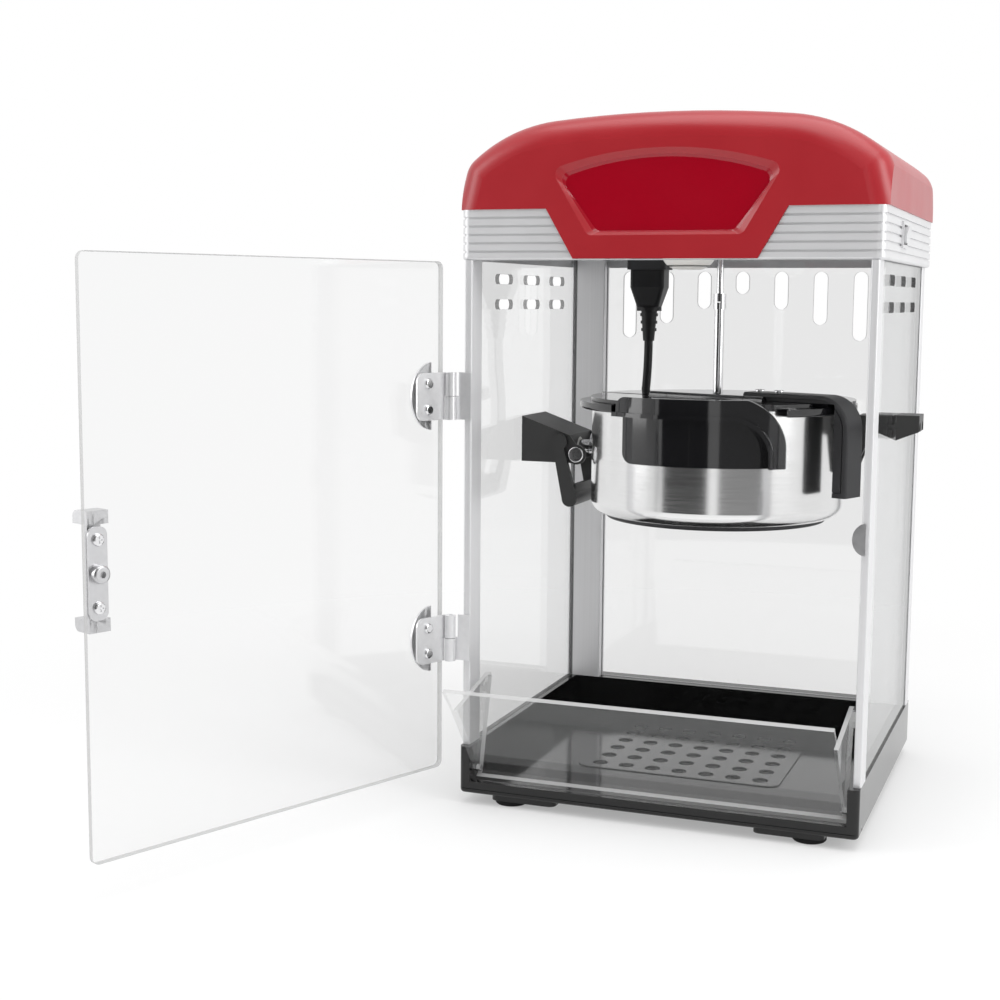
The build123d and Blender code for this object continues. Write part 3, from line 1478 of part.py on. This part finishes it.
def head_pieces():
    return {
        "head_dome": head_dome(), "head_band": head_band(), "ceiling_plate": ceiling_plate(),
        "lamp_lens": lamp_lens(), "lamp_holder": lamp_holder(), "lamp_bulb": lamp_bulb(),
        "gear_motor": gear_motor(), "drive_shaft": drive_shaft(), "switch_housing": switch_housing(),
        "switch_rocker": switch_rocker(), "mains_gland": mains_gland(), "kettle_socket": kettle_socket(),
        "kettle_plug": kettle_plug(), "kettle_cord": kettle_cord(),
    }


def kettle_pieces():
    return {
        "kettle_shell": kettle_shell(), "kettle_pan": kettle_pan(), "heating_ring": heating_ring(),
        "thermostat": thermostat(), "kettle_base_cover": kettle_base_cover(), "kettle_rim": kettle_rim(),
        "kettle_trunnions": kettle_trunnions(), "terminal_box": terminal_box(), "spout_guard": spout_guard(),
        "lid_rear": lid_rear(), "lid_flap": lid_flap(), "flap_pin": flap_pin(),
        "kettle_handle": kettle_handle(), "handle_screws": handle_screws(),
        "stir_rod": stir_rod(), "stir_paddle": stir_paddle(),
    }


def door_pieces():
    heights = hinge_heights()
    return {
        "door_panel": door_panel(), "door_screws": Compound(hinge_screws() + pull_screws()),
        "door_pull": door_pull(), "latch_plate": latch_plate(), "door_catch": door_catch(),
        "hinge_pins": hinge_pins(),
        "door_hinge_leaves": Compound([make(z) for z in heights for make in (door_leaf, door_moon)]),
        "post_hinge_leaves": Compound([post_leaf(z) for z in heights]),
        "chute": chute(), "chute_pins": chute_pins(),
    }


os.makedirs("parts", exist_ok=True)
for node, shape in (cabinet_pieces() | head_pieces() | kettle_pieces() | door_pieces()).items():
    export_step(shape, os.path.join("parts", node + ".step"))
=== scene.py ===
# %% [markdown]
# A tabletop popcorn maker: a clear cabinet on a black base, under a red head.
# The solids come from CAD and are loaded as a fixed frame. This notebook gives
# them their finishes, lays the kettle's flexible lead and sets the studio.

# %% Load the frame
import math
import bpy
import bmesh
from mathutils import Matrix, Vector


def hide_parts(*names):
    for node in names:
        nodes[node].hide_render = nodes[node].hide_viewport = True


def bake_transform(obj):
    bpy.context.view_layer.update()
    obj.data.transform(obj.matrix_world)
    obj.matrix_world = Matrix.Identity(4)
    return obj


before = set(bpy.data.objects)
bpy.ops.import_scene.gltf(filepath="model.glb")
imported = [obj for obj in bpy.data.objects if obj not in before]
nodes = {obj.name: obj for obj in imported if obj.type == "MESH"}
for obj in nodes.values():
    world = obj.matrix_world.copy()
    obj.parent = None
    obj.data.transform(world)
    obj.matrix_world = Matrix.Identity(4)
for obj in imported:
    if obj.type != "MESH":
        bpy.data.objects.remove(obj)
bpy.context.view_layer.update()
mm = 0.001
print("solids loaded:", len(nodes))

# %% [markdown]
# The camera is placed where the photographer stood: a little to the right of
# the front and slightly above the kettle. It could be turned by eye until the
# view looked right. Matching the corners of the band and the base settles the
# place, the turn and the lens together, so later looks compare like with like.


# %% Camera
def added(name, data):
    """An object that holds this data, linked into the scene."""
    made = bpy.data.objects.new(name, data)
    bpy.context.collection.objects.link(made)
    return made


camera_place = Vector((284.7, -1172.0, 358.7)) * mm
camera_turn = math.radians(20.895)
camera_dip = math.radians(7.072)
camera_roll = math.radians(0.430)
camera_data = bpy.data.cameras.new("camera")
camera_data.sensor_width = 36.0
camera_data.lens = 57.968
camera_data.clip_end = 50.0
camera = added("camera", camera_data)
aim = Matrix.Rotation(camera_turn, 4, "Z") @ Matrix.Rotation(math.pi / 2 - camera_dip, 4, "X")
roll = Matrix.Rotation(camera_roll, 4, "Z")
camera.matrix_world = Matrix.Translation(camera_place) @ aim @ roll
bpy.context.scene.camera = camera
print("camera", [round(value, 3) for value in camera_place])

# %% [markdown]
# Shader maths reads best as arithmetic. A wire wraps one output socket, and its
# operators add the Math nodes. A finish wraps one material, and its node method
# makes any other node from its type, its settings and its inputs.


# %% Wires and finishes
class Wire:
    """One output socket. Arithmetic on it adds Math nodes to its finish."""

    def __init__(self, finish, socket):
        self.finish = finish
        self.socket = socket

    def maths(self, operation, first, second):
        return self.finish.node("ShaderNodeMath", {"operation": operation}, {0: first, 1: second})

    def __add__(self, other):
        return self.maths("ADD", self, other)

    def __sub__(self, other):
        return self.maths("SUBTRACT", self, other)

    def __rsub__(self, other):
        return self.maths("SUBTRACT", other, self)

    def __mul__(self, other):
        return self.maths("MULTIPLY", self, other)

    def __lt__(self, other):
        return self.maths("LESS_THAN", self, other)

    def __gt__(self, other):
        return self.maths("GREATER_THAN", self, other)

    __radd__ = __add__
    __rmul__ = __mul__


class Finish:
    """The nodes of a new material, or of the world where that is the owner."""

    def __init__(self, name, owner=None):
        self.owner = owner or bpy.data.materials.new(name)
        self.owner.use_nodes = True
        self.tree = self.owner.node_tree
        self.tree.nodes.clear()

    def node(self, kind, settings=None, inputs=None, output=0):
        made = self.tree.nodes.new(kind)
        for name, value in (settings or {}).items():
            setattr(made, name, value)
        for name, value in (inputs or {}).items():
            if isinstance(value, Wire):
                self.tree.links.new(value.socket, made.inputs[name])
            else:
                made.inputs[name].default_value = value
        return Wire(self, made.outputs[output]) if made.outputs else None

    def place(self):
        return self.node("ShaderNodeTexCoord", output="Object")

    def noise(self, scale, detail, place):
        inputs = {"Vector": place, "Scale": scale, "Detail": detail}
        return self.node("ShaderNodeTexNoise", inputs=inputs)

    def bump(self, height, strength, distance):
        inputs = {"Height": height, "Strength": strength, "Distance": distance}
        return self.node("ShaderNodeBump", inputs=inputs)

    def blend(self, factor, first, second):
        inputs = {0: factor, 6: first, 7: second}
        return self.node("ShaderNodeMix", {"data_type": "RGBA"}, inputs, output=2)

    def surface(self, **inputs):
        named = {name.replace("_", " "): value for name, value in inputs.items()}
        return self.node("ShaderNodeBsdfPrincipled", inputs=named)

    def done(self, shader, kind="ShaderNodeOutputMaterial"):
        self.node(kind, inputs={"Surface": shader})
        return self.owner


def rgb(red, green, blue):
    return (red, green, blue, 1.0)


def grey(level):
    return rgb(level, level, level)


# %% [markdown]
# Nearly all the plastic here is moulded. A mould leaves a fine grain, and the
# gloss drifts a little over each face. A flat colour would look like paper, and
# an image could not be scaled, so two noises do it: a slow one that shades the
# colour and the gloss by a few percent, and a fine one that feeds a small bump.

# %% Moulded plastic
cloud_scale = 24.0
cloud_detail = 2.0
cloud_shade = 0.06
cloud_gloss = 0.10
grain_detail = 3.0
grain_strength = 0.35
polished_roughness = 0.12


def shaded(colour, amount):
    return rgb(*(channel * (1.0 + amount) for channel in colour[:3]))


def moulded(name, colour, roughness, grain_scale, grain_depth,
            metallic=0.0, gleam=0.5, polished=None):
    """A grained plastic. The optional pair is a mask of its smooth part and the colour painted
    there as its shade.
    """
    finish = Finish(name)
    place = finish.place()
    cloud = finish.noise(cloud_scale, cloud_detail, place)
    tone = finish.blend(cloud, shaded(colour, -cloud_shade), shaded(colour, cloud_shade))
    rough = cloud * cloud_gloss + (roughness - cloud_gloss / 2)
    if polished:
        find, painted_shade_colour = polished
        mask = find(finish, place)
        # Where the mask is 1, the colour is the one painted there as shade.
        tone = finish.blend(mask, tone, painted_shade_colour)
        rough = rough - mask * (roughness - polished_roughness)
    grain = finish.bump(finish.noise(grain_scale, grain_detail, place), grain_strength, grain_depth)
    return finish.done(finish.surface(Base_Color=tone, Roughness=rough, Metallic=metallic,
                                      Normal=grain, Specular_IOR_Level=gleam))


plaque_half_w = 80.0 * mm
plaque_top = 460.0 * mm
plaque_front = -125.5 * mm
plaque_back = -123.5 * mm


def plaque_face(finish, place):
    """1 on the floor of the plaque's recess, which is polished and painted a darker red as its
    shade, and 0 elsewhere, from the place alone.
    """
    across, along, up = (finish.node("ShaderNodeSeparateXYZ", inputs={0: place}, output=axis)
                         for axis in "XYZ")
    wide = (across < plaque_half_w) * (across > -plaque_half_w)
    deep = (along < plaque_back) * (along > plaque_front)
    return wide * deep * (up < plaque_top)


# The recess floor is painted a darker, purer red than the head: painted shade of the recess.
plaque_shade_red = rgb(0.32, 0.0, 0.010)
head_red = moulded("head_red", rgb(0.365, 0.009, 0.016), 0.32, 900.0, 0.00005, gleam=0.6,
                   polished=(plaque_face, plaque_shade_red))
trim_silver = moulded("trim_silver", rgb(0.70, 0.70, 0.71), 0.36, 700.0, 0.00004, metallic=0.35)
base_black = moulded("base_black", grey(0.005), 0.10, 800.0, 0.00001, gleam=0.45)
handle_grey = moulded("handle_grey", rgb(0.034, 0.034, 0.036), 0.50, 900.0, 0.00010, gleam=0.3)
bracket_black = moulded("bracket_black", grey(0.038), 0.42, 700.0, 0.00006, gleam=0.3)
gloss_black = moulded("gloss_black", rgb(0.006, 0.006, 0.007), 0.08, 900.0, 0.00001, gleam=0.9)
rubber_black = moulded("rubber_black", grey(0.008), 0.62, 500.0, 0.00012, gleam=0.2)
cord_black = moulded("cord_black", rgb(0.008, 0.008, 0.009), 0.42, 900.0, 0.00005, gleam=0.3)
nylon = moulded("nylon", rgb(0.70, 0.70, 0.67), 0.50, 700.0, 0.00006)
lamp_white = moulded("lamp_white", rgb(0.85, 0.84, 0.80), 0.32, 600.0, 0.00004)
print("materials with the plastics:", len(bpy.data.materials))

# %% [markdown]
# Clear acrylic lets most light through and mirrors the rest, more at a glancing
# angle, as any dielectric does: four percent head-on, rising with the fifth power
# (Schlick's rule). A glass shader would bend the light as well, but its shadows
# come out black, so a clear shader and a mirror are mixed. The sawn edges are
# matt. Their tone is partly their own frosted grey and partly painted light: each
# sheet's edges are painted paler or darker for the light the sheet leads to them
# and the dark they mirror. A surface counts as an edge where its normal is well
# away from that of the sheet's faces.

# %% Clear acrylic
head_on_mirror = 0.04
mirror_tone = rgb(0.92, 0.93, 0.93)
face_limit = 0.9
face_roughness = 0.03
edge_cover = 0.74
edge_roughness = 0.35
sawn_scale = 500.0
sawn_detail = 2.0
sawn_spread = 0.12


def acrylic(name, tint, edge_tone_and_shade, *face_normals):
    finish = Finish(name)
    normal = finish.node("ShaderNodeTexCoord", output="Normal")
    edge = 1.0
    for face_normal in face_normals:
        along = finish.node("ShaderNodeVectorMath", {"operation": "DOT_PRODUCT"},
                            {0: normal, 1: face_normal}, "Value")
        facing = finish.node("ShaderNodeMath", {"operation": "ABSOLUTE"}, {0: along})
        edge = (facing < face_limit) * edge
    glance = finish.node("ShaderNodeLayerWeight", inputs={"Blend": 0.5}, output="Facing")
    glance_squared = glance * glance
    mirror = glance_squared * glance_squared * glance * (1.0 - head_on_mirror) + head_on_mirror
    factor = mirror + edge * (1.0 - mirror) * edge_cover
    clear = finish.node("ShaderNodeBsdfTransparent", inputs={"Color": grey(tint)})
    tone = finish.blend(edge, mirror_tone, grey(edge_tone_and_shade))
    sawn = finish.noise(sawn_scale, sawn_detail, finish.place()) * sawn_spread
    rough = edge * edge_roughness + sawn * edge + face_roughness
    pane = finish.surface(Base_Color=tone, Roughness=rough, Metallic=1.0 - edge)
    return finish.done(finish.node("ShaderNodeMixShader", inputs={0: factor, 1: clear, 2: pane}))


door_turn = math.radians(-112.0)
door_face = (-math.sin(door_turn), math.cos(door_turn), 0.0)
chute_lean = math.radians(39.0)
chute_face = (0.0, math.cos(chute_lean), math.sin(chute_lean))
side_face = (1.0, 0.0, 0.0)
rear_face = (0.0, 1.0, 0.0)
door_clear = acrylic("door_clear", 0.968, 0.55, door_face)
# The side panels' edges are painted near black: a painted reflection of the dark that their vent
# edges show.
side_clear = acrylic("side_clear", 0.955, 0.08, side_face)
rear_clear = acrylic("rear_clear", 0.930, 0.50, rear_face)
chute_clear = acrylic("chute_clear", 0.975, 0.62, chute_face, side_face)
print("materials with the acrylic:", len(bpy.data.materials))

# %% [markdown]
# Bare metal shows how it was worked. The kettle is drawn stainless sheet, brushed
# around its wall; the posts are extruded, with lines along their length; the
# small fittings are plated and only faintly uneven. The same noise gives all of
# them when it is stretched along the direction of the work.

# %% Worked metal
streak_detail = 4.0
streak_strength = 0.08
streak_depth = 0.00006


def worked(name, colour, roughness, spread, stretch, metallic=1.0):
    """A metal whose noise has this many features to the metre along each axis."""
    finish = Finish(name)
    place = finish.node("ShaderNodeMapping", inputs={"Vector": finish.place(), "Scale": stretch})
    streaks = finish.noise(1.0, streak_detail, place)
    tone = finish.blend(streaks, shaded(colour, -cloud_shade), shaded(colour, cloud_shade))
    rough = streaks * spread + (roughness - spread / 2)
    grain = finish.bump(streaks, streak_strength, streak_depth)
    return finish.done(finish.surface(Base_Color=tone, Roughness=rough, Metallic=metallic,
                                      Normal=grain))


def even(count):
    return (count, count, count)


kettle_steel = worked("kettle_steel", grey(0.84), 0.17, 0.12, (40.0, 40.0, 1600.0))
plate_steel = worked("plate_steel", rgb(0.40, 0.40, 0.41), 0.35, 0.14, (400.0, 30.0, 400.0))
post_satin = worked("post_satin", rgb(0.72, 0.72, 0.73), 0.36, 0.10, (1400.0, 1400.0, 6.0),
                    metallic=0.35)
hinge_satin = worked("hinge_satin", rgb(0.78, 0.78, 0.79), 0.30, 0.10, even(250.0), metallic=0.55)
chrome = worked("chrome", rgb(0.80, 0.80, 0.81), 0.12, 0.08, even(300.0))
zinc = worked("zinc", rgb(0.58, 0.58, 0.59), 0.30, 0.12, even(250.0))
cast_grey = worked("cast_grey", rgb(0.35, 0.35, 0.36), 0.50, 0.16, even(120.0), metallic=0.6)
ceiling_grey = worked("ceiling_grey", rgb(0.78, 0.78, 0.79), 0.40, 0.12, (400.0, 20.0, 400.0),
                      metallic=0.2)
print("materials with the metals:", len(bpy.data.materials))

# %% [markdown]
# Each real piece is made of one stuff, so each solid takes one finish. The solids
# could be given their finishes one by one. A table from the finish to its pieces
# is shorter, and it reads as a list of what is made of what.

# %% Finishes on the solids
finishes = {
    base_black: "base_housing bottom_cover kernel_plate",
    rubber_black: "feet mains_gland",
    plate_steel: "kernel_tray",
    ceiling_grey: "ceiling_plate",
    post_satin: "front_left_post front_right_post rear_left_post rear_right_post",
    door_clear: "door_panel",
    side_clear: "left_panel right_panel",
    rear_clear: "rear_panel",
    chute_clear: "chute",
    head_red: "head_dome",
    trim_silver: "head_band switch_rocker switch_housing",
    bracket_black: "left_bracket right_bracket latch_bail bracket_boss",
    hinge_satin: "door_hinge_leaves post_hinge_leaves hinge_pins frame_screws",
    chrome: "door_screws bracket_screws handle_screws latch_pins chute_pins stir_rod stir_paddle "
            "drive_shaft flap_pin kettle_trunnions",
    zinc: "latch_plate door_pull door_catch lamp_holder",
    kettle_steel: "kettle_shell kettle_pan",
    gloss_black: "kettle_rim lid_rear lid_flap spout_guard",
    handle_grey: "kettle_handle kettle_base_cover terminal_box kettle_socket",
    nylon: "kettle_bushes",
    lamp_white: "lamp_lens lamp_bulb",
    cast_grey: "gear_motor heating_ring thermostat",
    cord_black: "kettle_plug",
}
for material, names in finishes.items():
    for name in names.split():
        nodes[name].data.materials.clear()
        nodes[name].data.materials.append(material)
print("finishes:", len(finishes))

# %% [markdown]
# The kettle's lead hangs from its plug and runs into the gland behind the kettle.
# A rigid tube would tear away when the kettle tips, so the lead is a smooth tube
# from the cabinet to the kettle, laid where it rests. It is drawn along a spline,
# because a real lead has no corners.

# %% Kettle lead
cord_d = 7.0 * mm
cord_route = [Vector(point) * mm for point in (
    (-72.0, 98.0, 327.0), (-72.0, 98.0, 305.0), (-75.0, 99.0, 275.94), (-74.1, 100.4, 248.19),
    (-61.5, 101.0, 228.21), (-38.0, 102.0, 216.0), (-16.0, 102.0, 216.0))]
cord_steps = 12
cord_roundness = 5


def drawn_mesh(line):
    """The mesh that a curve object draws as it now stands."""
    drawn = line.evaluated_get(bpy.context.evaluated_depsgraph_get())
    return bpy.data.meshes.new_from_object(drawn)


def flexible_lead(name, route, diameter):
    """A smooth tube along the route, and the points of its middle line."""
    curve = bpy.data.curves.new(name, "CURVE")
    curve.dimensions = "3D"
    spline = curve.splines.new("NURBS")
    spline.points.add(len(route) - 1)
    for point, place in zip(spline.points, route):
        point.co = (*place, 1.0)
    spline.order_u = 3
    spline.use_endpoint_u = True
    spline.resolution_u = cord_steps
    line = added(name + "_line", curve)
    path = [vertex.co.copy() for vertex in drawn_mesh(line).vertices]
    curve.bevel_depth = diameter / 2
    curve.bevel_resolution = cord_roundness
    curve.use_fill_caps = True
    mesh = drawn_mesh(line)
    bpy.data.objects.remove(line)
    mesh.polygons.foreach_set("use_smooth", [True] * len(mesh.polygons))
    return added(name, mesh), path


lead, lead_path = flexible_lead("kettle_lead", cord_route, cord_d)
lead.data.materials.clear()
lead.data.materials.append(cord_black)
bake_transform(lead)
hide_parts("kettle_cord")

# %% [markdown]
# The studio floor is white paper. Near the object it is a diffuse sheet, so the
# object keeps its shadow, but rays that look at it also see a little white glow
# there, which paints the shadow paler. Further out, rays that look at it, straight
# or in a mirror or pane, see clean white, and the floor runs into the white world
# behind without an edge. The light that the floor and the world give stays as it is.


# %% Floor and world
def seen_directly(finish):
    """1 for rays that look at the backdrop, straight or in a mirror or pane, else 0."""
    seen = 0.0
    for name in ("Is Camera Ray", "Is Glossy Ray", "Is Transmission Ray"):
        seen = finish.node("ShaderNodeLightPath", output=name) + seen
    return finish.node("ShaderNodeMath", {"operation": "MINIMUM"}, {0: seen, 1: 1.0})


def shaped_mesh(name, form):
    """The bmesh as a mesh, and the bmesh let go."""
    mesh = bpy.data.meshes.new(name)
    form.to_mesh(mesh)
    form.free()
    return mesh


clean_white = grey(1.0)
floor_size = 12.0
shadow_reach = 0.25
white_reach = 0.80
# Share of white glow that rays looking at the floor see next to the object: painted light that
# makes the shadow paler.
near_shadow_glow = 0.35
floor_finish = Finish("floor_white")
reach = floor_finish.node("ShaderNodeVectorMath", {"operation": "LENGTH"},
                          {0: floor_finish.place()}, "Value")
far = floor_finish.node("ShaderNodeMapRange", {"interpolation_type": "SMOOTHSTEP"},
                        {"Value": reach, "From Min": shadow_reach, "From Max": white_reach,
                         "To Min": near_shadow_glow})
paper = floor_finish.surface(Base_Color=grey(0.93), Roughness=0.9)
white = floor_finish.node("ShaderNodeEmission", inputs={"Color": clean_white, "Strength": 1.0})
floor_mix = floor_finish.node("ShaderNodeMixShader",
                              inputs={0: far * seen_directly(floor_finish), 1: paper, 2: white})
form = bmesh.new()
bmesh.ops.create_grid(form, x_segments=1, y_segments=1, size=floor_size)
floor = added("floor", shaped_mesh("floor", form))
floor.data.materials.append(floor_finish.done(floor_mix))

sky_light = 0.55
world = bpy.data.worlds.new("studio")
bpy.context.scene.world = world
sky = Finish("studio", world)
brightness = seen_directly(sky) * (1.0 - sky_light) + sky_light
background = sky.node("ShaderNodeBackground", inputs={"Color": clean_white, "Strength": brightness})
sky.done(background, "ShaderNodeOutputWorld")
print("floor", floor_size, "m each way, world", world.name)

# %% [markdown]
# Polished metal only looks like metal when it has something dark to mirror. A
# photographer stands black and grey flags round the front of the set, and the
# kettle shows them as upright bands. Dark bands painted on the kettle would turn
# with it. Each flag here is an arc swept round the object and drawn up from the
# floor. Only mirror rays see it, so it takes no light away.

# %% Flags
flag_ring = 1.0
flag_height = 2.4
flag_steps = 16


def flag(name, first_angle, last_angle, shade):
    """An upright arc, from the first to the last angle in degrees right of straight in front."""
    form = bmesh.new()
    start_at = Matrix.Rotation(math.radians(first_angle), 4, "Z") @ Vector((0.0, -flag_ring, 0.0))
    corner = form.verts.new(start_at)
    bmesh.ops.spin(form, geom=[corner], cent=(0, 0, 0), axis=(0, 0, 1), dvec=(0, 0, 0),
                   angle=math.radians(last_angle - first_angle), steps=flag_steps)
    raised = bmesh.ops.extrude_edge_only(form, edges=form.edges[:])["geom"]
    lifted = [item for item in raised if isinstance(item, bmesh.types.BMVert)]
    bmesh.ops.translate(form, verts=lifted, vec=(0, 0, flag_height))
    card = added(name, shaped_mesh(name, form))
    cloth = Finish(name)
    glow = cloth.node("ShaderNodeEmission", inputs={"Color": grey(shade), "Strength": 1.0})
    card.data.materials.append(cloth.done(glow))
    for kind in ("camera", "diffuse", "transmission", "volume_scatter", "shadow"):
        setattr(card, "visible_" + kind, False)
    print("flag", name, "from", first_angle, "to", last_angle, "degrees")


flag("black_flag", -33.0, 7.0, 0.05)
flag("grey_flag", 16.0, 61.0, 0.24)

# %% [markdown]
# Three soft boxes light it: a large one at the right, a weaker one at the left
# and a broad one above, together at the level at which a colour looks as written.
# A bare lamp would throw hard shadows, which white studio pictures don't show.


# %% Lamps
def softbox(name, place, target, width, height, power):
    light = bpy.data.lights.new(name, "AREA")
    light.shape = "RECTANGLE"
    light.size = width
    light.size_y = height
    light.energy = power
    lamp = added(name, light)
    aim_line = Vector(target) - Vector(place)
    turned = aim_line.to_track_quat("-Z", "Y").to_matrix().to_4x4()
    lamp.matrix_world = Matrix.Translation(place) @ turned
    print("lamp", name, power, "W")


middle = (0.0, 0.0, 0.25)
softbox("right_light", (1.63, -0.5, 0.9), middle, 0.8, 1.4, 14.0)
softbox("left_light", (-1.47, -0.85, 0.8), middle, 0.7, 1.4, 8.0)
softbox("top_light", (0.2, -0.3, 1.7), middle, 1.6, 1.6, 16.0)
bpy.context.scene.view_settings.view_transform = "Standard"
